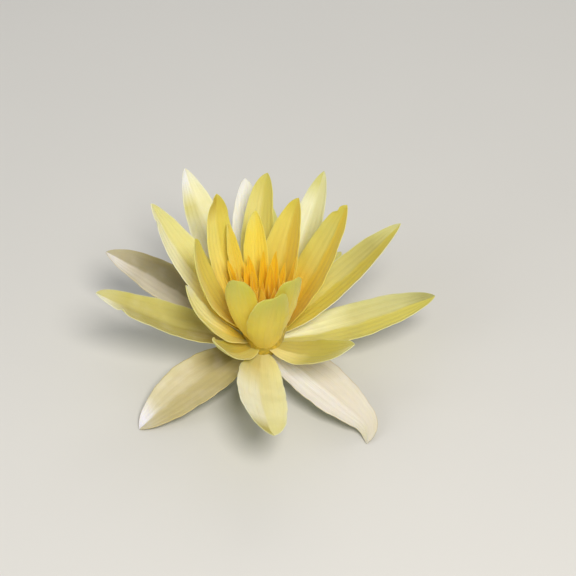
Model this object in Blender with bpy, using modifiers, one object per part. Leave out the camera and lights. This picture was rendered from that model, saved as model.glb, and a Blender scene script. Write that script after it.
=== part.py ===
"""A yellow water lily's flower, picked with a short stub of its stalk, on which it stands.

Metres, +Z up. The stub's cut end and the tips of three drooping sepals stand on the floor, z = 0, and the
origin is under the middle of the whole flower. Four sepals, rows of petals and rings of stamens stand
round one upright axis, each on its own foot on the receptacle.
"""

import math
import random

import bmesh
import bpy
import numpy as np
from mathutils import Vector

MM = 0.001

# Driving sizes
STALK_LENGTH = 14 * MM
STALK_RADIUS = 3.8 * MM
STALK_WIDENS = 1.1  # the top's radius, as a share of the cut end's
STALK_GAP = 0.3 * MM  # between the stalk's top and the cup
FOOT_RADIUS = 7.2 * MM  # how far from the axis the lowest petals begin
FOOT_FLARE = 0.2  # how much farther out a higher foot begins, per height
FOOT_START = 1.0 * MM  # the height of the foot of a petal with no lift, above the stalk
FOOT_CLIMB = 0.14 * MM  # how much higher a petal's foot is, for each degree of its lift
FOOT_LOWEST = 0.2 * MM
PETAL_THICKNESS = 0.8 * MM
PETAL_CELLS = (9, 4)  # along and across
STAMEN_THICKNESS = 0.6 * MM
STAMEN_CELLS = (6, 2)
TIP_SHARE = 0.03  # a tip's width, as a share of the petal's
SIDE_CURVE = 1.5  # the power of the length by which a petal's sideways curve grows
ROLL_LENGTH = 1 / 3  # the share of the length over which a petal reaches its whole roll
STEEPEST_REST = 60  # degrees, the most that a resting petal droops or lifts
REST_PRECISION = 1e-4  # degrees
ROUND_SIDES = 24
MERGE_DISTANCE = 0.05 * MM  # for the points of a turned profile that meet on its axis
SPINE_STEPS = 90

# What the petals of one row share. lift is how steeply a petal leaves the cup, bend how much more it
# rises by its tip, cup how far its sides curl up and roll how far it is turned about its length, all in
# degrees; length and width are in mm. widen and narrow shape the outline: the higher, the more slowly it
# widens and the sooner it narrows. The higher foot is, the broader the foot.
ROWS = {
    "sepal": dict(lift=-5, bend=-15, length=62, width=25, cup=26, widen=0.6, narrow=0.7, foot=0.02),
    "outer": dict(lift=15, bend=20, length=72, width=22, cup=31, widen=0.6, narrow=0.65, foot=0.02),
    "middle": dict(lift=35, bend=20, length=74, width=20, cup=31, widen=0.6, narrow=0.7, foot=0.02),
    "inner": dict(lift=50, bend=15, length=66, width=20, cup=31, widen=0.6, narrow=0.65, foot=0.02),
    "core": dict(lift=65, bend=15, length=50, width=15, cup=34, widen=0.55, narrow=0.35, foot=0.1),
}

# Where each petal stands round the axis, in degrees from +X, and how it differs from its row. side is how
# far it curves sideways by its tip, in degrees, and raised how much higher its foot is, in mm. A petal
# that rests droops until its tip is on the floor, whatever its row's lift.
PETALS = {
    "sepal_front_right": dict(azimuth=-42, side=5, rests=True),
    "sepal_front_left": dict(azimuth=-146, side=5, roll=-5, length=61, rests=True),
    "sepal_back": dict(azimuth=65, rests=True),
    "sepal_left": dict(azimuth=150, lift=15, bend=10, side=15, length=76, raised=-2.5),
    "outer_front": dict(azimuth=-95, bend=0, side=25, roll=-20, length=69, width=23, narrow=0.5, raised=-2),
    "outer_right": dict(azimuth=10, lift=0, bend=25, roll=5, raised=1),
    "outer_left": dict(azimuth=185, bend=25, length=73, raised=0.5),
    "outer_back": dict(azimuth=90, length=66, width=20, raised=-1.2),
    "outer_back_left": dict(azimuth=140, length=52, width=15),
    "outer_back_right": dict(azimuth=47, length=48, width=14, raised=-0.5),
    "outer_small_right": dict(
        azimuth=-47, lift=18, bend=30, side=22, roll=15, length=52, width=15, foot=0.1, raised=0.3
    ),
    "outer_small_left": dict(
        azimuth=-126, lift=15, bend=55, side=-15, roll=-12, length=36, width=14, foot=0.08, raised=1.2
    ),
    "middle_right": dict(azimuth=28, lift=25, bend=15, length=72, raised=0.5),
    "middle_back_right": dict(azimuth=63, length=72, width=17, raised=0.5),
    "middle_back": dict(azimuth=98, lift=28, bend=15, length=70, raised=-1.5),
    "middle_back_left": dict(azimuth=127, lift=35, side=-8, length=77, raised=-0.5),
    "middle_left": dict(azimuth=165, lift=45, bend=25, roll=-8, length=76, width=21),
    "middle_front_left": dict(
        azimuth=-151, lift=33, bend=48, side=-30, roll=-12, length=51, width=13, raised=0.7
    ),
    "inner_right": dict(azimuth=25, lift=54, side=5, width=22, raised=-0.5),
    "inner_back_right": dict(azimuth=67, lift=60, bend=5, side=-12, roll=-15, length=55, raised=1),
    "inner_back": dict(azimuth=97, lift=45, bend=10, side=-28, roll=-15, width=17),
    "inner_back_left": dict(
        azimuth=145, lift=57, bend=40, side=-15, roll=-12, length=68, width=15, raised=1
    ),
    "inner_left": dict(
        azimuth=191, lift=48, bend=45, side=-26, roll=-10, length=58, width=16, raised=4.5
    ),
    "core_back": dict(
        azimuth=101, lift=67, bend=5, side=-15, roll=-10, length=47, width=12, narrow=0.6, foot=0.05,
        raised=2
    ),
    "core_left": dict(azimuth=137, lift=70, bend=12, length=46, width=8, narrow=0.6, foot=0.05, raised=3),
    "core_front_left": dict(
        azimuth=-118, lift=60, bend=26, side=14, length=50, width=17, narrow=0.45, raised=0.5
    ),
    "core_front": dict(azimuth=-85, lift=58, bend=18, side=24, length=52, width=19, raised=-3),
    "core_front_right": dict(azimuth=-58, lift=65, bend=14, side=2, length=48, width=15, raised=1.5),
}

# What all stamens share, as in ROWS, and the rings in which they stand on the cup: how many, the height and
# radius of their feet, how far the ring is turned, and their lift, length and width. Then how much a single
# stamen varies.
STAMEN_SHAPE = dict(bend=12, roll=0, cup=30, widen=0.5, narrow=0.75, foot=0.1)
STAMEN_RINGS = {
    "stamen_outer": dict(count=8, height=13.2, radius=7, turned=22, lift=68, length=32, width=6),
    "stamen_inner": dict(count=6, height=13.2, radius=4.7, turned=5, lift=77, length=27, width=5.5),
}
STAMEN_VARIES = dict(azimuth=4, lift=3, side=8, length=3)
SEED = 5

# Turned profiles, as (radius, height) in mm, from the middle of the top, down the outer side, to the middle
# of the underside. Heights are above the stalk.
CUP_PROFILE = (
    (0, 12), (4, 12), (5.8, 12.6), (7.9, 12.4), (8.2, 13.4), (8.7, 13.4), (8.4, 12), (7.2, 6), (6.2, 0),
    (0, 0),
)
STIGMA_PROFILE = ((0, 14.6), (1.2, 14.4), (2, 13.8), (3.4, 14.2), (3.8, 13.6), (3.4, 12.6), (0, 12.4))

COLOURS = {
    "sepal": (0.74, 0.69, 0.50),
    "outer": (0.76, 0.70, 0.38),
    "middle": (0.78, 0.73, 0.44),
    "inner": (0.74, 0.62, 0.16),
    "core": (0.68, 0.52, 0.10),
    "stamen": (0.82, 0.42, 0.03),
    "receptacle": (0.70, 0.52, 0.10),
    "stigma": (0.78, 0.55, 0.08),
    "stalk": (0.22, 0.26, 0.08),
}
ROUGHNESS = 0.5


def clear_scene():
    for thing in list(bpy.data.objects):
        bpy.data.objects.remove(thing)


def make_materials():
    materials = {}
    for name, colour in COLOURS.items():
        material = bpy.data.materials.new(name)
        material.use_nodes = True
        shader = material.node_tree.nodes["Principled BSDF"]
        shader.inputs["Base Color"].default_value = (*colour, 1)
        shader.inputs["Roughness"].default_value = ROUGHNESS
        material.diffuse_color = (*colour, 1)
        materials[name] = material
    return materials


def direction(heading, rise):
    level = math.cos(rise)
    return Vector((level * math.cos(heading), level * math.sin(heading), math.sin(rise)))


def outline(along, widen, narrow, foot):
    """The half width at this share of the length, as a share of the widest."""
    widest = (widen - foot * narrow) / (widen + narrow)
    full = (widest + foot) ** widen * (1 - widest) ** narrow
    return max((along + foot) ** widen * max(1 - along, 0) ** narrow / full, TIP_SHARE)


def spine(shape):
    """Stations along a petal's middle line, from the origin out along +X: (point, heading, rise)."""
    point = Vector((0, 0, 0))
    step_length = shape["length"] * MM / SPINE_STEPS
    stations = []
    for step in range(SPINE_STEPS + 1):
        along = step / SPINE_STEPS
        heading = math.radians(shape["side"] * along**SIDE_CURVE)
        rise = math.radians(shape["lift"] + shape["bend"] * along)
        stations.append((point.copy(), heading, rise))
        point += direction(heading, rise) * step_length
    return stations


def petal_point(shape, stations, along, across):
    """The point of the middle surface at these shares of the length (0 to 1) and the width (-1 to 1)."""
    point, heading, rise = stations[round(along * SPINE_STEPS)]
    sideways = direction(heading + math.pi / 2, 0)
    inward = direction(heading, rise).cross(sideways)
    roll = math.radians(shape["roll"]) * min(along / ROLL_LENGTH, 1)
    across_way = sideways * math.cos(roll) + inward * math.sin(roll)
    inner_way = inward * math.cos(roll) - sideways * math.sin(roll)
    cup = math.radians(shape["cup"])
    half_width = shape["width"] / 2 * MM * outline(along, shape["widen"], shape["narrow"], shape["foot"])
    arc_radius = half_width / cup
    turn = cup * across
    sagitta = arc_radius * (1 - math.cos(turn))
    return point + across_way * arc_radius * math.sin(turn) + inner_way * sagitta


def add_petal(name, shape, foot, azimuth, cells, thickness, material):
    """A flat grid laid along the petal's spine and cupped, then given its thickness."""
    stations = spine(shape)
    grid = bmesh.new()
    bmesh.ops.create_grid(grid, x_segments=cells[0], y_segments=cells[1], size=1)
    for vertex in grid.verts:
        vertex.co = petal_point(shape, stations, (vertex.co.x + 1) / 2, vertex.co.y)
    mesh = bpy.data.meshes.new(name)
    grid.to_mesh(mesh)
    grid.free()
    mesh.shade_smooth()
    mesh.materials.append(material)
    petal = bpy.data.objects.new(name, mesh)
    shell = petal.modifiers.new("thickness", "SOLIDIFY")
    shell.thickness = thickness
    shell.offset = 0
    petal.location = foot
    petal.rotation_euler = (0, 0, azimuth)
    return petal


def foot_at(azimuth, radius, height):
    return direction(azimuth, 0) * radius + Vector((0, 0, STALK_LENGTH + height))


def lift_to_floor(shape, height):
    """The lift at which a petal with its foot at this height just reaches the floor with its tip."""
    low, high = -STEEPEST_REST, STEEPEST_REST
    while high - low > REST_PRECISION:
        middle = (low + high) / 2
        tip = spine({**shape, "lift": middle})[-1][0]
        if STALK_LENGTH + height + tip.z > PETAL_THICKNESS / 2:
            high = middle
        else:
            low = middle
    return low


def make_petals(materials):
    petals = []
    for name, own in PETALS.items():
        row = name.split("_")[0]
        shape = {"side": 0, "roll": 0, "raised": 0, "rests": False, **ROWS[row], **own}
        height = max(FOOT_START + FOOT_CLIMB * shape["lift"] + shape["raised"] * MM, FOOT_LOWEST)
        if shape["rests"]:
            shape["lift"] = lift_to_floor(shape, height)
        azimuth = math.radians(shape["azimuth"])
        foot = foot_at(azimuth, FOOT_RADIUS + FOOT_FLARE * height, height)
        petals.append(add_petal(name, shape, foot, azimuth, PETAL_CELLS, PETAL_THICKNESS, materials[row]))
    return petals


def make_stamens(materials):
    chance = random.Random(SEED)
    stamens = []
    for ring_name, ring in STAMEN_RINGS.items():
        for index in range(ring["count"]):
            varied = {key: chance.uniform(-most, most) for key, most in STAMEN_VARIES.items()}
            shape = {**STAMEN_SHAPE, "width": ring["width"], "side": varied["side"]}
            shape["lift"] = ring["lift"] + varied["lift"]
            shape["length"] = ring["length"] + varied["length"]
            azimuth = math.radians(ring["turned"] + 360 * index / ring["count"] + varied["azimuth"])
            foot = foot_at(azimuth, ring["radius"] * MM, ring["height"] * MM)
            name = f"{ring_name}_{index + 1:02d}"
            material = materials["stamen"]
            stamens.append(add_petal(name, shape, foot, azimuth, STAMEN_CELLS, STAMEN_THICKNESS, material))
    return stamens


def add_turned(name, profile, material):
    """A profile turned round the flower's axis."""
    mesh = bpy.data.meshes.new(name)
    points = [(radius * MM, 0, height * MM) for radius, height in profile]
    mesh.from_pydata(points, [(i, i + 1) for i in range(len(points) - 1)], [])
    mesh.materials.append(material)
    turned = bpy.data.objects.new(name, mesh)
    screw = turned.modifiers.new("turn", "SCREW")
    screw.steps = ROUND_SIDES
    screw.render_steps = ROUND_SIDES
    screw.use_merge_vertices = True
    screw.merge_threshold = MERGE_DISTANCE
    turned.location = (0, 0, STALK_LENGTH)
    return turned


def add_stalk(material):
    """The stub of the stalk, cut square at the floor."""
    length = STALK_LENGTH - STALK_GAP
    stub = bmesh.new()
    bmesh.ops.create_cone(
        stub,
        cap_ends=True,
        segments=ROUND_SIDES,
        radius1=STALK_RADIUS,
        radius2=STALK_RADIUS * STALK_WIDENS,
        depth=length,
    )
    mesh = bpy.data.meshes.new("stalk")
    stub.to_mesh(mesh)
    stub.free()
    mesh.materials.append(material)
    stalk = bpy.data.objects.new("stalk", mesh)
    stalk.location = (0, 0, length / 2)
    return stalk


def corners(parts):
    """The lowest and highest corner of all the parts' evaluated meshes."""
    bpy.context.view_layer.update()
    graph = bpy.context.evaluated_depsgraph_get()
    points = []
    for part in parts:
        evaluated = part.evaluated_get(graph)
        points += [evaluated.matrix_world @ vertex.co for vertex in evaluated.data.vertices]
    points = np.array(points)
    return points.min(axis=0), points.max(axis=0)


def main():
    clear_scene()
    materials = make_materials()
    parts = make_petals(materials) + make_stamens(materials)
    parts.append(add_turned("receptacle", CUP_PROFILE, materials["receptacle"]))
    parts.append(add_turned("stigma", STIGMA_PROFILE, materials["stigma"]))
    parts.append(add_stalk(materials["stalk"]))
    collection = bpy.data.collections.new("water_lily_flower")
    bpy.context.scene.collection.children.link(collection)
    axis = bpy.data.objects.new("flower_axis", None)
    collection.objects.link(axis)
    for part in parts:
        collection.objects.link(part)
        part.parent = axis
    lowest, highest = corners(parts)
    axis.location = (-(lowest[0] + highest[0]) / 2, -(lowest[1] + highest[1]) / 2, -lowest[2])


main()
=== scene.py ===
"""The looks of the water lily flower: its petals, stamens and cup, on a pale floor in soft light.

Metres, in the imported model's frame. Each CAD petal and stamen is replaced by a finer sheet that starts at
the same foot and follows the same middle line and outline, but for some hooked or blunt tips and a twist in
the stamens. It has thin edges, and furrows or pollen ridges. More stamens than the CAD part has stand
between and inside its two rings. The receptacle, stigma and stalk are replaced by turned shapes; the
receptacle is a little fuller than the CAD one, so that every foot touches it.
"""

import math
import random

import bpy
import numpy as np
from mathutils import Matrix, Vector


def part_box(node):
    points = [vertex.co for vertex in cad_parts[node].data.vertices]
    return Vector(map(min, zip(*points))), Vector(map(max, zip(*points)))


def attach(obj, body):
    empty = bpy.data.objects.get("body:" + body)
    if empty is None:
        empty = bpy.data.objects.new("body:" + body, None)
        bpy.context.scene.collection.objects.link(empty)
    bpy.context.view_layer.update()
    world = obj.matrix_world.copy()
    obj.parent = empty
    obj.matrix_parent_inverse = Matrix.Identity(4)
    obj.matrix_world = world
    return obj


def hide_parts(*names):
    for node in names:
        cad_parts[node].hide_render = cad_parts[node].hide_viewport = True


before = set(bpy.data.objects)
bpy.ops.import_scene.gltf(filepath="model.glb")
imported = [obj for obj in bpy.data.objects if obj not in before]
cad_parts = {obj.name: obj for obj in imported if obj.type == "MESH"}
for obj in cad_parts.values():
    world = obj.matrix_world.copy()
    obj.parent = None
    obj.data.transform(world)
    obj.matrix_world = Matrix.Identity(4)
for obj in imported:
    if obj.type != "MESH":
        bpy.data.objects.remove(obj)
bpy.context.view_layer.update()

MM = 0.001

# Where the petals start and how their middle lines run, as in the CAD part
STALK_LENGTH = 14 * MM
FOOT_RADIUS = 7.2 * MM
FOOT_FLARE = 0.2
FOOT_START = 1.0 * MM
FOOT_CLIMB = 0.14 * MM
FOOT_LOWEST = 0.2 * MM
PETAL_THICKNESS = 0.8 * MM
STAMEN_THICKNESS = 0.6 * MM
TIP_SHARE = 0.03
SIDE_CURVE = 1.5
ROLL_LENGTH = 1 / 3
STEEPEST_REST = 60
REST_PRECISION = 1e-4
SPINE_STEPS = 90

# The fine sheets
PETAL_CROSS_STEPS = 36
STAMEN_CROSS_STEPS = 16
EDGE_THICKNESS = 0.3  # as a share of the middle's
KEEL_ROUNDING = 0.15  # of the channel's bottom, as a share of the half width
CURL_START = 0.72  # where a margin begins to curl, as a share of the half width
FOLD_STARTS = (0.3, 0.6)  # where a margin's fold begins and is whole, as shares of the length
HOOK_START = 0.76  # where a hooked tip begins, as a share of the length
BLUNT_STARTS = (0.75, 0.95)  # where a blunt tip begins to be broader and is broadest
BLUNT_GAIN = 0.25  # how much broader it then is, as a share of the width
EDGE_FALL = 3  # the power by which a sheet thins towards its edges
TIP_FALL = 6  # and towards its tip
WAVE_HEIGHT = 0.4 * MM  # the slow unevenness of a petal
WAVES = ((5, 1.5, 1), (9, -2, 0.6))  # its two waves: radians along and across, and strength
EDGE_WAVE_HEIGHT = 0.5 * MM
EDGE_WAVES = (13, 29)  # radians along, of the two waves at an edge
SECOND_EDGE_WAVE = 0.5  # the strength of the second, against the first
EDGE_WAVE_POWER = 3  # how steeply they fade towards the middle line
NICK_DEPTH = 0.012  # the unevenness of the outline, as a share of the width
NICKS = ((31, 1, 1), (67, 2, 0.6))  # radians along, radians for each degree of azimuth, strength
FURROWS = 7  # lengthwise, across a petal
FURROW_DEPTH = 0.08 * MM
NOTCH_LENGTH = 0.02  # as a share of the petal's length
NOTCH_DEPTH = 0.3  # as a share of the half width
SEED = 11

# The shapes of the rows and of single petals, as in the CAD part, but for sepal_front_right, whose tip is
# slimmer here. Angles are in degrees, lengths in mm. What only the looks need comes after: keel is how much
# of a V the petal's channel is, from 0 to 1; curl how far its margins turn inward and fold how much more the
# margin on the darker side does, in mm; hook how far the tip turns sideways, in degrees; notch where the
# edge is nicked, along the length; blunt how square the tip is, from 0 to 1.
ROWS = {
    "sepal": dict(
        lift=-5, bend=-15, length=62, width=25, cup=26, widen=0.6, narrow=0.7, foot=0.02, keel=0.15, curl=0.3
    ),
    "outer": dict(
        lift=15, bend=20, length=72, width=22, cup=31, widen=0.6, narrow=0.65, foot=0.02, keel=0.5, curl=0.3
    ),
    "middle": dict(
        lift=35, bend=20, length=74, width=20, cup=31, widen=0.6, narrow=0.7, foot=0.02, keel=0.5, curl=0.3
    ),
    "inner": dict(
        lift=50, bend=15, length=66, width=20, cup=31, widen=0.6, narrow=0.65, foot=0.02, keel=0.35, curl=0.3
    ),
    "core": dict(
        lift=65, bend=15, length=50, width=15, cup=34, widen=0.55, narrow=0.35, foot=0.1, keel=0.1, curl=0.4
    ),
}
PETAL_DEFAULTS = dict(side=0, roll=0, raised=0, rests=False, fold=0, hook=0, notch=None, blunt=0)
PETALS = {
    "sepal_front_right": dict(azimuth=-42, side=5, narrow=0.85, hook=-70, rests=True),
    "sepal_front_left": dict(azimuth=-146, side=5, roll=-5, length=61, rests=True),
    "sepal_back": dict(azimuth=65, rests=True),
    "sepal_left": dict(azimuth=150, lift=15, bend=10, side=15, length=76, raised=-2.5, blunt=0.3),
    "outer_front": dict(
        azimuth=-95, bend=0, side=25, roll=-20, length=69, width=23, narrow=0.5, raised=-2, keel=0.2
    ),
    "outer_right": dict(azimuth=10, lift=0, bend=25, roll=5, raised=1, fold=0.5),
    "outer_left": dict(azimuth=185, bend=25, length=73, raised=0.5, notch=0.83, blunt=0.3),
    "outer_back": dict(azimuth=90, length=66, width=20, raised=-1.2),
    "outer_back_left": dict(azimuth=140, length=52, width=15),
    "outer_back_right": dict(azimuth=47, length=48, width=14, raised=-0.5),
    "outer_small_right": dict(
        azimuth=-47, lift=18, bend=30, side=22, roll=15, length=52, width=15, foot=0.1, raised=0.3, blunt=0.4
    ),
    "outer_small_left": dict(
        azimuth=-126, lift=15, bend=55, side=-15, roll=-12, length=36, width=14, foot=0.08, raised=1.2,
        blunt=0.5
    ),
    "middle_right": dict(azimuth=28, lift=25, bend=15, length=72, raised=0.5, fold=1),
    "middle_back_right": dict(azimuth=63, length=72, width=17, raised=0.5),
    "middle_back": dict(azimuth=98, lift=28, bend=15, length=70, raised=-1.5),
    "middle_back_left": dict(azimuth=127, lift=35, side=-8, length=77, raised=-0.5),
    "middle_left": dict(azimuth=165, lift=45, bend=25, roll=-8, length=76, width=21, fold=0.5, notch=0.9),
    "middle_front_left": dict(
        azimuth=-151, lift=33, bend=48, side=-30, roll=-12, length=51, width=13, raised=0.7, blunt=0.5
    ),
    "inner_right": dict(azimuth=25, lift=54, side=5, width=22, raised=-0.5, notch=0.93),
    "inner_back_right": dict(azimuth=67, lift=60, bend=5, side=-12, roll=-15, length=55, raised=1),
    "inner_back": dict(azimuth=97, lift=45, bend=10, side=-28, roll=-15, width=17, blunt=0.9),
    "inner_back_left": dict(
        azimuth=145, lift=57, bend=40, side=-15, roll=-12, length=68, width=15, raised=1,
        notch=0.95, blunt=0.7
    ),
    "inner_left": dict(
        azimuth=191, lift=48, bend=45, side=-26, roll=-10, length=58, width=16, raised=4.5
    ),
    "core_back": dict(
        azimuth=101, lift=67, bend=5, side=-15, roll=-10, length=47, width=12, narrow=0.6, foot=0.05, raised=2
    ),
    "core_left": dict(
        azimuth=137, lift=70, bend=12, length=46, width=8, narrow=0.6, foot=0.05, raised=3
    ),
    "core_front_left": dict(
        azimuth=-118, lift=60, bend=26, side=14, length=50, width=17, narrow=0.45, raised=0.5, blunt=0.1
    ),
    "core_front": dict(
        azimuth=-85, lift=58, bend=18, side=24, length=52, width=19, raised=-3, blunt=0.35
    ),
    "core_front_right": dict(
        azimuth=-58, lift=65, bend=14, side=2, length=48, width=15, raised=1.5, blunt=0.2
    ),
}

# Stamens. The two rings of the CAD part come first; the others stand between and inside them.
STAMEN_SHAPE = dict(
    bend=12, cup=30, widen=0.5, narrow=0.75, foot=0.1, keel=0, notch=None, blunt=0, pale_side=1
)
STAMEN_RINGS = {
    "stamen_outer": dict(count=8, height=13.2, radius=7, turned=22, lift=68, length=32, width=6),
    "stamen_inner": dict(count=6, height=13.2, radius=4.7, turned=5, lift=77, length=27, width=5.5),
    "stamen_between": dict(count=8, height=13.2, radius=6.1, turned=44, lift=71, length=31, width=4.6),
    "stamen_middle": dict(count=6, height=13.2, radius=4.0, turned=35, lift=86, length=23, width=2.6),
}
STAMEN_VARIES = dict(azimuth=4, lift=3, side=8, length=3)
STAMEN_SEED = 5
STAMEN_TWISTS = dict(roll=12, hook=30)  # in the fine pieces only
ANTHER_HEIGHT = 0.3 * MM  # of the two pollen ridges on a stamen's inner face
ANTHER_PLACE = 0.45  # across, as a share of the half width
ANTHER_WIDTH = 0.16
ANTHER_START = (0.2, 0.35)  # where a ridge begins and is whole, as shares of the length
ANTHER_END = (0.75, 0.9)  # where it begins to sink and is gone

# Turned profiles, as (radius, height above the stalk's top) in mm, from the top down.
CUP_PROFILE = (
    (0, 12.8), (3, 13.2), (4.5, 13.8), (8.4, 14), (10.7, 14.3), (10.2, 12), (9.1, 6.5), (8.5, 3), (8.1, 0),
    (7.2, -0.4), (4.6, -0.4), (0, -0.4),
)
STIGMA_PROFILE = (
    (0, 16), (0.9, 15.8), (1.1, 14.6), (1.9, 14.1), (2.8, 14.8), (3.3, 15), (3.5, 14.2), (3, 12.8), (0, 12.5)
)
STALK_PROFILE = ((0, 13.7), (4.2, 13.7), (4, 9), (3.8, 1), (3.6, 0.1), (3.3, 0), (0, 0))
TURNED_SIDES = 144
CORNER_CUTS = 3  # how often a profile's corners are cut off
CORNER_SHARE = 0.25  # of each side, at each cut
CUP_RIBS = 28  # round the receptacle and the stalk
CUP_RIB_DEPTH = 0.012  # as a share of the radius, like the next two
STALK_RIB_DEPTH = 0.01
STIGMA_RAY_DEPTH = 0.05
STIGMA_RAYS = 14
STALK_CANALS = 4  # air canals on the cut face of the stalk
CANAL_PLACE = 1.7 * MM
CANAL_RADIUS = 0.75 * MM
CANAL_BOTTOM = 0.8  # the radius of its flat bottom, as a share of its own
CANAL_DEPTH = 1.6 * MM

# Colours, as sRGB. base, middle, upper and tip follow the length of the inner face, and upper is the middle's
# where it isn't given; shade is the colour of the darker half of the channel, painted shade on the half that
# turns from the light, while the paler half is painted as lit; vein the veins; rim is the edges' colour and
# edge how strong it is there, from 0 to 1, which on the sepals is a real brownish edge and on the petals
# partly a paler margin, partly a painted glow of backlit edges; back_base, back and back_tip follow the outer
# face.
ROW_LOOKS = {
    "sepal": dict(
        base=(204, 194, 138), middle=(228, 220, 186), tip=(240, 234, 222), shade=(216, 207, 168),
        vein=(184, 174, 126), rim=(186, 152, 104), edge=0.4,
        back_base=(150, 160, 84), back=(168, 174, 104), back_tip=(190, 184, 130)
    ),
    "outer": dict(
        base=(250, 238, 168), middle=(236, 229, 168), tip=(206, 202, 140), shade=(222, 215, 124),
        vein=(196, 188, 106), rim=(246, 242, 206), edge=0.3,
        back_base=(226, 214, 112), back=(208, 207, 110), back_tip=(200, 199, 116)
    ),
    "middle": dict(
        base=(255, 220, 76), middle=(238, 231, 168), tip=(238, 233, 194), shade=(228, 219, 120),
        vein=(202, 192, 108), rim=(248, 244, 206), edge=0.3,
        back_base=(234, 218, 106), back=(216, 210, 112), back_tip=(208, 204, 126)
    ),
    "inner": dict(
        base=(255, 212, 56), middle=(240, 218, 106), tip=(236, 216, 116), shade=(234, 206, 74),
        vein=(218, 192, 84), rim=(252, 240, 164), edge=0.2,
        back_base=(250, 216, 74), back=(232, 214, 92), back_tip=(214, 206, 106)
    ),
    "core": dict(
        base=(255, 220, 78), middle=(250, 224, 98), tip=(244, 224, 112), shade=(246, 216, 82),
        vein=(220, 192, 78), rim=(252, 238, 150), edge=0.2,
        back_base=(255, 216, 66), back=(244, 217, 74), back_tip=(192, 190, 80)
    ),
}
PETAL_LOOKS = {
    # its dark olive base is painted shadow cast by the flower above it
    "sepal_front_left": dict(
        base=(146, 133, 70), middle=(206, 194, 156), tip=(248, 240, 240), shade=(186, 173, 122)
    ),
    "sepal_front_right": dict(
        base=(254, 247, 243), middle=(240, 230, 220), upper=(234, 224, 210), tip=(218, 208, 180),
        shade=(222, 211, 192)
    ),
    # its dark base and grey-olive shade half are partly painted shadow of the petals above it, partly its own
    # grey-olive
    "sepal_left": dict(
        base=(122, 112, 66), middle=(196, 188, 170), tip=(232, 223, 216), shade=(152, 144, 106)
    ),
    "outer_front": dict(
        base=(214, 202, 132), middle=(248, 242, 214), tip=(170, 161, 78), shade=(236, 227, 166)
    ),
    "outer_right": dict(
        base=(255, 248, 206), middle=(212, 206, 144), upper=(198, 195, 138), tip=(160, 158, 102),
        shade=(206, 195, 84)
    ),
    # its olive base and middle are painted shade on its lower half, and its shade colour, paler here, paints
    # the lit upper half
    "outer_left": dict(
        base=(164, 147, 62), middle=(176, 167, 90), tip=(242, 238, 208), shade=(196, 188, 114)
    ),
    "outer_small_right": dict(
        middle=(184, 177, 86), shade=(188, 179, 84), back_base=(240, 222, 108), back=(196, 192, 90)
    ),
    "outer_small_left": dict(
        base=(206, 186, 78), middle=(192, 182, 82), tip=(224, 218, 122), back=(198, 191, 86)
    ),
    "middle_right": dict(
        base=(252, 230, 116), middle=(212, 203, 126), upper=(182, 176, 104), tip=(206, 202, 140),
        shade=(206, 190, 68), rim=(252, 249, 224), edge=0.6
    ),
    "middle_back_right": dict(
        base=(240, 228, 140), middle=(236, 233, 198), tip=(204, 199, 124), shade=(216, 212, 162)
    ),
    "middle_back": dict(
        middle=(252, 249, 236), upper=(250, 244, 226), tip=(250, 246, 232), shade=(246, 240, 214)
    ),
    "middle_back_left": dict(
        middle=(255, 253, 234), upper=(214, 206, 136), tip=(255, 252, 238), shade=(236, 229, 180)
    ),
    "middle_left": dict(middle=(244, 239, 200), tip=(240, 234, 186), shade=(234, 225, 144), edge=0.5),
    "middle_front_left": dict(back_base=(250, 216, 66), back=(220, 204, 78), back_tip=(210, 200, 92)),
    "inner_right": dict(
        base=(255, 204, 40), middle=(218, 202, 102), upper=(208, 200, 110), tip=(208, 194, 84),
        shade=(222, 192, 56)
    ),
    "inner_back_right": dict(middle=(232, 211, 104), tip=(214, 194, 78), shade=(220, 188, 60)),
    "inner_back": dict(middle=(216, 204, 122), tip=(206, 194, 102), shade=(202, 189, 86)),
    "inner_back_left": dict(middle=(250, 232, 132), tip=(200, 178, 64), shade=(232, 212, 94)),
    "inner_left": dict(
        base=(248, 220, 84), middle=(228, 216, 116), tip=(214, 206, 108), shade=(216, 202, 92)
    ),
}
STAMEN_LOOK = dict(
    base=(255, 222, 80), middle=(255, 208, 46), tip=(255, 206, 50), shade=(252, 196, 40), vein=(232, 158, 34),
    rim=(255, 222, 104), edge=0.2, back_base=(255, 214, 80), back=(255, 200, 60), back_tip=(255, 206, 70)
)
CUP_COLOURS = ((176, 156, 56), (222, 192, 62))
STIGMA_COLOURS = ((236, 176, 34), (252, 214, 80))
STALK_COLOURS = ((112, 124, 52), (146, 150, 74))
FLOOR_COLOUR = (214, 212, 207)
FLOOR_MOTTLE = (0.5, 0.5, 0.48, 1)  # as linear light

# How the layers of a petal's colour lie. Places along and across it run from 0 to 1.
INNER_STOPS = (0.16, 0.48, 0.78, 0.93)  # of base, middle, upper and tip, along the petal
OUTER_STOPS = (0.1, 0.5, 0.92)  # of back_base, back and back_tip
MIDLINE = 0.5
SHADE_PLACE = (0.63, 0.55)  # where the painted shade of the darker half begins and is whole, across the petal
SHADE_WANDER = 0.16  # how far the blotches shift the border of the painted shade
MIDRIB_WIDTH = 0.09
MIDRIB_STRENGTH = 0.12
VEIN_RANGE = (0.52, 0.68)  # of the vein noise
BLOTCH_RANGE = (0.45, 0.75)  # of the blotch noise
BLOTCH_STRENGTH = 0.16
STRIPE_WIDTH = 0.09  # of the stripe along a stamen's pollen ridge
STRIPE_START = (0.2, 0.4)  # where it begins and is whole, along the stamen
RIM_PLACE = (0.47, 0.5)  # where the rim colour begins and is whole, from the middle line; on the petals it is partly painted glow of backlit edges
PETAL_LAYERS = dict(painted_shading=0.8, veins=0.22, stripes=0)
STAMEN_LAYERS = dict(painted_shading=0.4, veins=0.3, stripes=0.35)
MOTTLE_RANGE = (0.3, 0.7)  # of the patch noise of flesh and floor
FLOOR_MOTTLE_STRENGTH = 0.06

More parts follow.
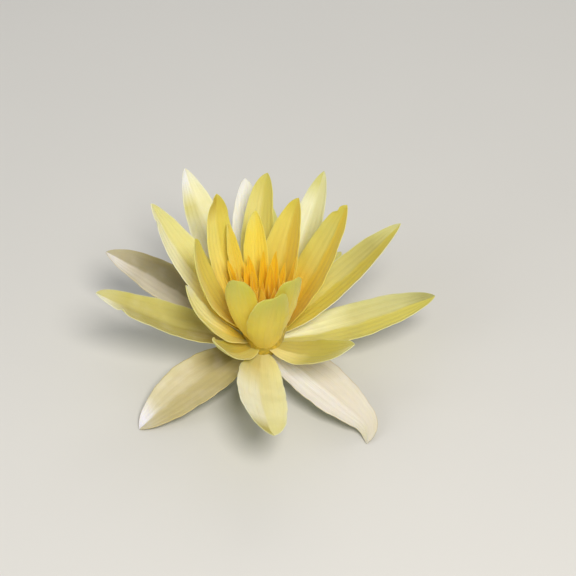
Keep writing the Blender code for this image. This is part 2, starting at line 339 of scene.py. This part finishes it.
# Noises, as the scale for a metre and the detail; the veins' is on the petal's own map, stretched
BLOTCHES = (95, 3)
VEINS = (1, 3)
VEIN_STRETCH = (2, 44, 1)
PETAL_GRAIN = (2600, 2)
FLESH_GRAIN = (1800, 3)
CUP_PATCHES = (500, 4)
STIGMA_PATCHES = (700, 4)
STALK_PATCHES = (400, 4)
FLOOR_PATCHES = (6, 3)

# Bumps, as strength and distance
VEIN_BUMP = (0.7, 0.25 * MM)
PETAL_GRAIN_BUMP = (0.25, 0.08 * MM)
FLESH_BUMP = (0.4, 0.15 * MM)

# Finish. The tissue lets light spread in it, and has a faint velvet.
PETAL_ROUGHNESS = 0.4
FLESH_ROUGHNESS = 0.5
FLOOR_ROUGHNESS = 0.85
PETAL_SPREAD = 0.5
FLESH_SPREAD = 0.3
TISSUE = {
    "Subsurface Radius": (1.0, 0.8, 0.4),
    "Subsurface Scale": 2.5 * MM,
    "Specular IOR Level": 0.35,
    "Sheen Weight": 0.15,
    "Sheen Roughness": 0.4,
}

# The camera looks from the front, down on the flower, and is aimed from its axis
CAMERA_ELEVATION = math.radians(42)
CAMERA_DISTANCE = 0.80
CAMERA_LENS = 112
SENSOR_WIDTH = 36
LOOK_HEIGHT = 14 * MM
LOOK_RIGHT = 10.7 * MM
LOOK_UP = 25.4 * MM

# Soft lights: the way to each from the flower, its size, power and colour
LIGHTS = {
    "key": dict(away=(0.2, -0.6, 0.85), size=0.4, power=9, colour=(1, 0.96, 0.9)),
    "fill": dict(away=(-0.8, -0.4, 0.5), size=0.8, power=2.2, colour=(0.95, 0.97, 1)),
    "back": dict(away=(0.1, 0.8, 0.6), size=0.6, power=1.5, colour=(1, 0.98, 0.94)),
}
LIGHT_HEIGHT = 40 * MM  # of the point that they are aimed at
SKY_COLOUR = (0.93, 0.96, 1, 1)
SKY_STRENGTH = 0.33
FLOOR_REACH = 3


def srgb(colour):
    """An sRGB colour of 0 to 255 as linear light, with its alpha."""
    return (*(((c / 255 + 0.055) / 1.055) ** 2.4 for c in colour), 1)


def smooth(value, start, end):
    """How far the value has come from start to end, from 0 to 1, with an easy beginning and end."""
    share = np.clip((value - start) / (end - start), 0, 1)
    return share * share * (3 - 2 * share)


# ------------------------------------------------------------------ shapes


def direction(heading, rise):
    """Unit vectors at these angles, in radians, from +X towards +Y and from the level."""
    level = np.cos(rise)
    return np.stack([level * np.cos(heading), level * np.sin(heading), np.sin(rise)], axis=-1)


def outline(along, shape):
    """The half width at these shares of the length, as a share of the widest."""
    widen, narrow, foot = shape["widen"], shape["narrow"], shape["foot"]
    widest = (widen - foot * narrow) / (widen + narrow)
    full = (widest + foot) ** widen * (1 - widest) ** narrow
    pointed = (along + foot) ** widen * np.maximum(1 - along, 0) ** narrow / full
    rounded = pointed * (1 + BLUNT_GAIN * shape["blunt"] * smooth(along, *BLUNT_STARTS))
    return np.maximum(rounded, TIP_SHARE)


def spine(shape):
    """The middle line out along +X: shares of the length, points, headings and rises."""
    along = np.linspace(0, 1, SPINE_STEPS + 1)
    hook = shape["hook"] * smooth(along, HOOK_START, 1)
    heading = np.radians(shape["side"] * along**SIDE_CURVE + hook)
    rise = np.radians(shape["lift"] + shape["bend"] * along)
    steps = direction(heading, rise)[:-1] * (shape["length"] * MM / SPINE_STEPS)
    points = np.vstack([np.zeros(3), np.cumsum(steps, axis=0)])
    return along, points, heading, rise


def lift_to_floor(shape, height):
    """The lift at which a petal with its foot at this height just reaches the floor with its tip."""
    low, high = -STEEPEST_REST, STEEPEST_REST
    while high - low > REST_PRECISION:
        middle = (low + high) / 2
        tip = spine({**shape, "lift": middle})[1][-1]
        if STALK_LENGTH + height + tip[2] > PETAL_THICKNESS / 2:
            high = middle
        else:
            low = middle
    return low


def relief(s, t, shape, waves):
    """How far a petal's surface stands inward of its plain shape: waves, edges, furrows."""
    phase = waves.uniform(0, 2 * math.pi, 5)
    body = np.sqrt(np.sin(math.pi * s))
    slow = 0
    for (along, across, strength), start in zip(WAVES, phase):
        slow = slow + strength * np.sin(along * s + across * t + start)
    other_edge = np.where(t > 0, phase[3], 0)
    edge = np.sin(EDGE_WAVES[0] * s + phase[2] + other_edge)
    edge = edge + SECOND_EDGE_WAVE * np.sin(EDGE_WAVES[1] * s + phase[4])
    margin = np.clip((np.abs(t) - CURL_START) / (1 - CURL_START), 0, 1) ** 2
    dark_side = (t * shape["pale_side"] < 0) * smooth(s, *FOLD_STARTS)
    return body * (
        WAVE_HEIGHT / 2 * slow
        + EDGE_WAVE_HEIGHT / 2 * np.abs(t) ** EDGE_WAVE_POWER * edge
        + FURROW_DEPTH * np.cos(math.pi * FURROWS * t)
        + margin * MM * (shape["curl"] + shape["fold"] * dark_side)
    )


def anthers(s, t, shape, waves):
    """The two ridges of pollen on a stamen's inner face, the same on every stamen."""
    ridge = np.exp(-(((np.abs(t) - ANTHER_PLACE) / ANTHER_WIDTH) ** 2))
    return ANTHER_HEIGHT * ridge * smooth(s, *ANTHER_START) * (1 - smooth(s, *ANTHER_END))


def middle_surface(shape, cross_steps, detail, waves):
    """A sheet's middle surface as rows of points, one row for each point of the middle line. The outline's
    nicks differ from petal to petal by its azimuth."""
    along, points, heading, rise = spine(shape)
    sideways = direction(heading + math.pi / 2, np.zeros_like(heading))
    inward = np.cross(direction(heading, rise), sideways)
    roll = np.radians(shape["roll"]) * np.minimum(along / ROLL_LENGTH, 1)
    cos, sin = np.cos(roll)[:, None], np.sin(roll)[:, None]
    across_way = sideways * cos + inward * sin
    inner_way = inward * cos - sideways * sin
    s = along[:, None]
    t = np.linspace(-1, 1, cross_steps + 1)[None, :]
    cup = math.radians(shape["cup"])
    radius = shape["width"] / 2 * MM * outline(s, shape) / cup
    width = radius * np.sin(cup * t)
    nicks = sum(strength * np.sin(rate * s + turn * shape["azimuth"]) for rate, turn, strength in NICKS)
    width = width * (1 + NICK_DEPTH * nicks * np.abs(t))
    if shape["notch"]:
        nick = np.exp(-(((s - shape["notch"]) / NOTCH_LENGTH) ** 2)) * (t * shape["pale_side"] > 0)
        width = width * (1 - NOTCH_DEPTH * nick * np.abs(t))
    arc = radius * (1 - np.cos(cup * t))
    bottom = math.sqrt(1 + KEEL_ROUNDING**2) - KEEL_ROUNDING
    vee = (np.sqrt(t**2 + KEEL_ROUNDING**2) - KEEL_ROUNDING) / bottom
    height = (1 - shape["keel"]) * arc + shape["keel"] * vee * arc[:, -1:]
    height = height + detail(s, t, shape, waves)
    return (
        points[:, None, :]
        + across_way[:, None, :] * width[:, :, None]
        + inner_way[:, None, :] * height[:, :, None]
    )


def mesh_of(name, points, faces):
    """A smooth mesh of an array of points and a list of faces."""
    mesh = bpy.data.meshes.new(name)
    mesh.from_pydata(points.tolist(), [], faces)
    mesh.shade_smooth()
    return mesh


def sheet_mesh(name, middle, thickness, pale_side):
    """A closed sheet round a middle surface, thickest along its middle line. Its map holds the shares of
    the length and of the width, with the paler half, the one painted as lit, on the high side, and outside
    marks the outer face."""
    rows, columns = middle.shape[:2]
    normal = np.cross(np.gradient(middle, axis=0), np.gradient(middle, axis=1))
    normal /= np.linalg.norm(normal, axis=2, keepdims=True)
    s = np.linspace(0, 1, rows)[:, None]
    t = np.linspace(-1, 1, columns)[None, :]
    share = EDGE_THICKNESS + (1 - EDGE_THICKNESS) * (1 - np.abs(t) ** EDGE_FALL) * (1 - s**TIP_FALL)
    offset = normal * (thickness / 2 * share)[:, :, None]
    points = np.vstack([(middle + offset).reshape(-1, 3), (middle - offset).reshape(-1, 3)])
    count = rows * columns
    index = np.arange(count).reshape(rows, columns)
    quads = np.stack([index[:-1, :-1], index[1:, :-1], index[1:, 1:], index[:-1, 1:]], axis=-1)
    inner = quads.reshape(-1, 4)
    rim = np.concatenate([index[0, :-1], index[:-1, -1], index[-1, :0:-1], index[:0:-1, 0]])
    after = np.roll(rim, -1)
    wall = np.stack([rim, after, after + count, rim + count], axis=-1)
    mesh = mesh_of(name, points, np.vstack([inner, inner[:, ::-1] + count, wall]).tolist())
    place = np.stack(np.broadcast_arrays(s, (1 + pale_side * t) / 2), axis=-1).reshape(-1, 2)
    corners = np.zeros(len(mesh.loops), int)
    mesh.loops.foreach_get("vertex_index", corners)
    mesh.uv_layers.new(name="petal").uv.foreach_set("vector", np.vstack([place, place])[corners].ravel())
    outside = np.repeat([0.0, 1.0], count).astype(np.float32)
    mesh.attributes.new("outside", "FLOAT", "POINT").data.foreach_set("value", outside)
    return mesh


def cut_corners(profile):
    """The profile with its corners rounded off; its two ends stay."""
    points = np.array(profile, float)
    for _ in range(CORNER_CUTS):
        early = points[:-1] * (1 - CORNER_SHARE) + points[1:] * CORNER_SHARE
        late = points[:-1] * CORNER_SHARE + points[1:] * (1 - CORNER_SHARE)
        between = np.stack([early, late], axis=1).reshape(-1, 2)
        points = np.vstack([points[:1], between, points[-1:]])
    return points


def turned_mesh(name, profile, ribs, depth):
    """A closed shape turned round Z, with ribs round it whose depth is a share of the radius."""
    curve = cut_corners(profile)[1:-1] * MM
    turn = np.linspace(0, 2 * math.pi, TURNED_SIDES, endpoint=False)[None, :]
    radius, height = curve[:, :1], curve[:, 1:]
    out = radius * (1 + depth * np.cos(ribs * turn))
    rings = np.stack(np.broadcast_arrays(out * np.cos(turn), out * np.sin(turn), height), axis=-1)
    rows = len(curve)
    ends = np.array([[0, 0, height[0, 0]], [0, 0, height[-1, 0]]])
    index = np.arange(rows * TURNED_SIDES).reshape(rows, TURNED_SIDES)
    after = np.roll(index, -1, axis=1)
    quads = np.stack([index[:-1], index[1:], after[1:], after[:-1]], axis=-1).reshape(-1, 4)
    top, bottom = rows * TURNED_SIDES, rows * TURNED_SIDES + 1
    top_cap = [(top, a, b) for a, b in zip(index[0].tolist(), after[0].tolist())]
    bottom_cap = [(bottom, b, a) for a, b in zip(index[-1].tolist(), after[-1].tolist())]
    points = np.vstack([rings.reshape(-1, 3), ends])
    return mesh_of(name, points, quads.tolist() + top_cap + bottom_cap)


# ------------------------------------------------------------------ materials


def add_node(tree, kind, inputs=None, **settings):
    """A node with its settings and inputs; an input is a value or another node's output."""
    node = tree.nodes.new("ShaderNode" + kind)
    for key, value in settings.items():
        setattr(node, key, value)
    for key, value in (inputs or {}).items():
        if isinstance(value, bpy.types.NodeSocket):
            tree.links.new(value, node.inputs[key])
        else:
            node.inputs[key].default_value = value
    return node


def calculate(tree, operation, *values):
    """What a math node makes of these values, each of them a number or another node's output."""
    return add_node(tree, "Math", dict(enumerate(values)), operation=operation).outputs["Value"]


def mix(tree, factor, first, second):
    inputs = {"Factor": factor, "A": first, "B": second}
    return add_node(tree, "Mix", inputs, data_type="RGBA").outputs["Result"]


def span(tree, value, start, end, low=0.0, high=1.0):
    """The value mapped smoothly from start..end to low..high."""
    inputs = {"Value": value, "From Min": start, "From Max": end, "To Min": low, "To Max": high}
    return add_node(tree, "MapRange", inputs, interpolation_type="SMOOTHSTEP").outputs["Result"]


def layer(tree, under, value, borders, strength, colour):
    """The colour under it, with another laid over it as the value goes from one border to the other."""
    return mix(tree, span(tree, value, *borders, 0.0, strength), under, srgb(colour))


def ramp(tree, value, places, colours):
    node = add_node(tree, "ValToRGB", {"Fac": value})
    elements = node.color_ramp.elements
    elements[0].position, elements[0].color = places[0], srgb(colours[0])
    elements[1].position, elements[1].color = places[-1], srgb(colours[-1])
    for position, colour in zip(places[1:-1], colours[1:-1]):
        elements.new(position).color = srgb(colour)
    return node.outputs["Color"]


def noise(tree, vector, scale, detail):
    return add_node(tree, "TexNoise", {"Vector": vector, "Scale": scale, "Detail": detail}).outputs["Fac"]


def bump(tree, height, strength, distance, under=None):
    """The normals of this height, on top of the normals under it."""
    inputs = {"Height": height, "Strength": strength, "Distance": distance}
    if under is not None:
        inputs["Normal"] = under
    return add_node(tree, "Bump", inputs).outputs["Normal"]


def new_material(name, roughness, spread=0):
    """A material, of tissue if light spreads in it, with its node tree, shader and object coordinates."""
    material = bpy.data.materials.new(name)
    material.use_nodes = True
    tree = material.node_tree
    shader = tree.nodes["Principled BSDF"]
    shader.inputs["Roughness"].default_value = roughness
    if spread:
        shader.inputs["Subsurface Weight"].default_value = spread
        for key, value in TISSUE.items():
            shader.inputs[key].default_value = value
    return material, tree, shader, add_node(tree, "TexCoord").outputs["Object"]


def petal_material(name, look, painted_shading, veins, stripes):
    """Tissue that changes along and across a petal, with veins, blotches and a fine grain. Its three
    strengths are those of the painted shade on its darker half, of its veins and, on a stamen, of its pollen
    stripes."""
    material, tree, shader, objects = new_material(name, PETAL_ROUGHNESS, PETAL_SPREAD)
    uv = add_node(tree, "UVMap", uv_map="petal").outputs["UV"]
    place = add_node(tree, "SeparateXYZ", {"Vector": uv})
    along, across = place.outputs["X"], place.outputs["Y"]
    off_middle = calculate(tree, "ABSOLUTE", calculate(tree, "SUBTRACT", across, MIDLINE))
    blotch = noise(tree, objects, *BLOTCHES)
    wander = calculate(tree, "MULTIPLY_ADD", blotch, SHADE_WANDER, across)

    inner_colours = (look["base"], look["middle"], look.get("upper", look["middle"]), look["tip"])
    inside = ramp(tree, along, INNER_STOPS, inner_colours)
    # painted shade over the darker half of the channel, the half that turns from the light
    inside = layer(tree, inside, wander, SHADE_PLACE, painted_shading, look["shade"])
    outside = ramp(tree, along, OUTER_STOPS, (look["back_base"], look["back"], look["back_tip"]))
    midrib = calculate(tree, "COMPARE", across, MIDLINE, MIDRIB_WIDTH)
    outside = layer(tree, outside, midrib, (0, 1), MIDRIB_STRENGTH, look["vein"])
    face = add_node(tree, "Attribute", attribute_name="outside").outputs["Fac"]
    colour = mix(tree, face, inside, outside)

    stretched = add_node(tree, "Mapping", {"Vector": uv, "Scale": VEIN_STRETCH}).outputs["Vector"]
    vein = noise(tree, stretched, *VEINS)
    colour = layer(tree, colour, vein, VEIN_RANGE, veins, look["vein"])
    colour = layer(tree, colour, blotch, BLOTCH_RANGE, BLOTCH_STRENGTH, look["tip"])
    if stripes:
        stripe = calculate(tree, "COMPARE", off_middle, ANTHER_PLACE / 2, STRIPE_WIDTH)
        grown = span(tree, along, *STRIPE_START, 0.0, stripes)
        colour = mix(tree, calculate(tree, "MULTIPLY", stripe, grown), colour, srgb(look["vein"]))
    # the rim: on the sepals a real brownish edge, on the petals partly a paler margin and partly a painted
    # glow of backlit edges
    colour = layer(tree, colour, off_middle, RIM_PLACE, look["edge"], look["rim"])
    tree.links.new(colour, shader.inputs["Base Color"])

    ridges = bump(tree, vein, *VEIN_BUMP)
    grain = noise(tree, objects, *PETAL_GRAIN)
    tree.links.new(bump(tree, grain, *PETAL_GRAIN_BUMP, ridges), shader.inputs["Normal"])
    return material


def flesh_material(name, colours, patches):
    """Mottled flesh between two colours, with a fine grain."""
    material, tree, shader, objects = new_material(name, FLESH_ROUGHNESS, FLESH_SPREAD)
    colour = layer(tree, srgb(colours[0]), noise(tree, objects, *patches), MOTTLE_RANGE, 1.0, colours[1])
    tree.links.new(colour, shader.inputs["Base Color"])
    grain = noise(tree, objects, *FLESH_GRAIN)
    tree.links.new(bump(tree, grain, *FLESH_BUMP), shader.inputs["Normal"])
    return material


def floor_material():
    material, tree, shader, objects = new_material("floor", FLOOR_ROUGHNESS)
    patches = noise(tree, objects, *FLOOR_PATCHES)
    mottle = span(tree, patches, *MOTTLE_RANGE, 0.0, FLOOR_MOTTLE_STRENGTH)
    colour = mix(tree, mottle, srgb(FLOOR_COLOUR), FLOOR_MOTTLE)
    tree.links.new(colour, shader.inputs["Base Color"])
    return material


# ------------------------------------------------------------------ pieces


def put(name, data):
    """An object of this data, in the scene."""
    thing = bpy.data.objects.new(name, data)
    bpy.context.scene.collection.objects.link(thing)
    return thing


def add_piece(mesh, material, nodes, foot, azimuth=0):
    """A mesh as a piece that stands for these CAD nodes, if any, with its own +X turned to the azimuth."""
    mesh.materials.append(material)
    piece = put(mesh.name, mesh)
    piece.location = foot
    piece.rotation_euler = (0, 0, azimuth)
    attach(piece, "root")
    if nodes:
        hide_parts(*nodes)


def foot_at(axis, azimuth, radius, height):
    """A place on the cup, at this height above the top of the stalk."""
    return axis + Vector((math.cos(azimuth) * radius, math.sin(azimuth) * radius, STALK_LENGTH + height))


def make_petals(axis):
    """The petals, each on its foot on the cup. The paler half of a petal is the one painted as lit and the
    other gets painted shade; at the back the paler half is on the side of the growing azimuth and at the
    front on the other side, which is mostly the camera's left."""
    waves = np.random.default_rng(SEED)
    for name, own in PETALS.items():
        row = name.split("_")[0]
        shape = {**PETAL_DEFAULTS, **ROWS[row], **own}
        shape["pale_side"] = 1 if shape["azimuth"] > 0 else -1
        height = max(FOOT_START + FOOT_CLIMB * shape["lift"] + shape["raised"] * MM, FOOT_LOWEST)
        if shape["rests"]:
            shape["lift"] = lift_to_floor(shape, height)
        azimuth = math.radians(shape["azimuth"])
        foot = foot_at(axis, azimuth, FOOT_RADIUS + FOOT_FLARE * height, height)
        middle = middle_surface(shape, PETAL_CROSS_STEPS, relief, waves)
        mesh = sheet_mesh(name + "_tissue", middle, PETAL_THICKNESS, shape["pale_side"])
        material = petal_material(name, {**ROW_LOOKS[row], **PETAL_LOOKS.get(name, {})}, **PETAL_LAYERS)
        add_piece(mesh, material, [name], foot, azimuth)


def make_stamens(axis):
    """The stamens, drawn in the same order as the CAD part's, so that its own stand where its solids do."""
    chance = random.Random(STAMEN_SEED)
    twists = np.random.default_rng(SEED)
    material = petal_material("stamen", STAMEN_LOOK, **STAMEN_LAYERS)
    for ring_name, ring in STAMEN_RINGS.items():
        for index in range(ring["count"]):
            varied = {key: chance.uniform(-most, most) for key, most in STAMEN_VARIES.items()}
            shape = {**STAMEN_SHAPE, "width": ring["width"], "side": varied["side"]}
            shape["azimuth"] = ring["turned"] + 360 * index / ring["count"] + varied["azimuth"]
            shape["lift"] = ring["lift"] + varied["lift"]
            shape["length"] = ring["length"] + varied["length"]
            for key, most in STAMEN_TWISTS.items():
                shape[key] = twists.uniform(-most, most)
            azimuth = math.radians(shape["azimuth"])
            foot = foot_at(axis, azimuth, ring["radius"] * MM, ring["height"] * MM)
            name = f"{ring_name}_{index + 1:02d}"
            middle = middle_surface(shape, STAMEN_CROSS_STEPS, anthers, None)
            mesh = sheet_mesh(name + "_tissue", middle, STAMEN_THICKNESS, shape["pale_side"])
            nodes = [name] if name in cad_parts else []
            add_piece(mesh, material, nodes, foot, azimuth)


def add_canals(mesh):
    """Presses the air canals into the cut face of the stalk."""
    turns = [2 * math.pi * i / STALK_CANALS for i in range(STALK_CANALS)]
    centres = [(CANAL_PLACE * math.cos(turn), CANAL_PLACE * math.sin(turn)) for turn in turns]
    for vertex in mesh.vertices:
        if vertex.co.z < CANAL_DEPTH / 2:
            near = min(math.hypot(vertex.co.x - x, vertex.co.y - y) for x, y in centres)
            vertex.co.z += CANAL_DEPTH * (1 - float(smooth(near, CANAL_RADIUS * CANAL_BOTTOM, CANAL_RADIUS)))


def make_cup(axis):
    """The receptacle, and on its top and under it the stigma and the cut stalk."""
    top = axis + Vector((0, 0, STALK_LENGTH))
    cup = turned_mesh("receptacle_tissue", CUP_PROFILE, CUP_RIBS, CUP_RIB_DEPTH)
    cup_flesh = flesh_material("receptacle", CUP_COLOURS, CUP_PATCHES)
    add_piece(cup, cup_flesh, ["receptacle"], top)
    stigma = turned_mesh("stigma_tissue", STIGMA_PROFILE, STIGMA_RAYS, STIGMA_RAY_DEPTH)
    stigma_flesh = flesh_material("stigma", STIGMA_COLOURS, STIGMA_PATCHES)
    add_piece(stigma, stigma_flesh, ["stigma"], top)
    stalk = turned_mesh("stalk_tissue", STALK_PROFILE, CUP_RIBS, STALK_RIB_DEPTH)
    add_canals(stalk)
    stalk_flesh = flesh_material("stalk", STALK_COLOURS, STALK_PATCHES)
    add_piece(stalk, stalk_flesh, ["stalk"], axis)


# ------------------------------------------------------------------ stage


def add_camera(axis):
    back = Vector((0, -math.cos(CAMERA_ELEVATION), math.sin(CAMERA_ELEVATION)))
    right = Vector((1, 0, 0))
    up = back.cross(right)
    data = bpy.data.cameras.new("camera")
    data.lens = CAMERA_LENS
    data.sensor_width = SENSOR_WIDTH
    camera = put("camera", data)
    target = axis + Vector((0, 0, LOOK_HEIGHT)) + right * LOOK_RIGHT + up * LOOK_UP
    camera.location = target + back * CAMERA_DISTANCE
    camera.rotation_euler = (-back).to_track_quat("-Z", "Y").to_euler()
    bpy.context.scene.camera = camera


def add_softbox(name, target, away, size, power, colour):
    data = bpy.data.lights.new(name, "AREA")
    data.shape = "DISK"
    data.size = size
    data.energy = power
    data.color = colour
    light = put(name, data)
    light.location = target + Vector(away)
    light.rotation_euler = (-Vector(away)).to_track_quat("-Z", "Y").to_euler()


def make_stage(axis):
    corners = FLOOR_REACH * np.array([(-1, -1, 0), (1, -1, 0), (1, 1, 0), (-1, 1, 0)])
    mesh = mesh_of("floor", corners, [(0, 1, 2, 3)])
    mesh.materials.append(floor_material())
    put("floor", mesh)
    target = axis + Vector((0, 0, LIGHT_HEIGHT))
    for name, light in LIGHTS.items():
        add_softbox(name, target, **light)
    world = bpy.data.worlds.new("soft")
    world.use_nodes = True
    background = world.node_tree.nodes["Background"]
    background.inputs["Color"].default_value = SKY_COLOUR
    background.inputs["Strength"].default_value = SKY_STRENGTH
    bpy.context.scene.world = world
    bpy.context.scene.view_settings.view_transform = "Standard"


def main():
    low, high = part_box("receptacle")
    axis = Vector(((low.x + high.x) / 2, (low.y + high.y) / 2, 0))
    add_camera(axis)
    make_petals(axis)
    make_stamens(axis)
    make_cup(axis)
    make_stage(axis)


main()
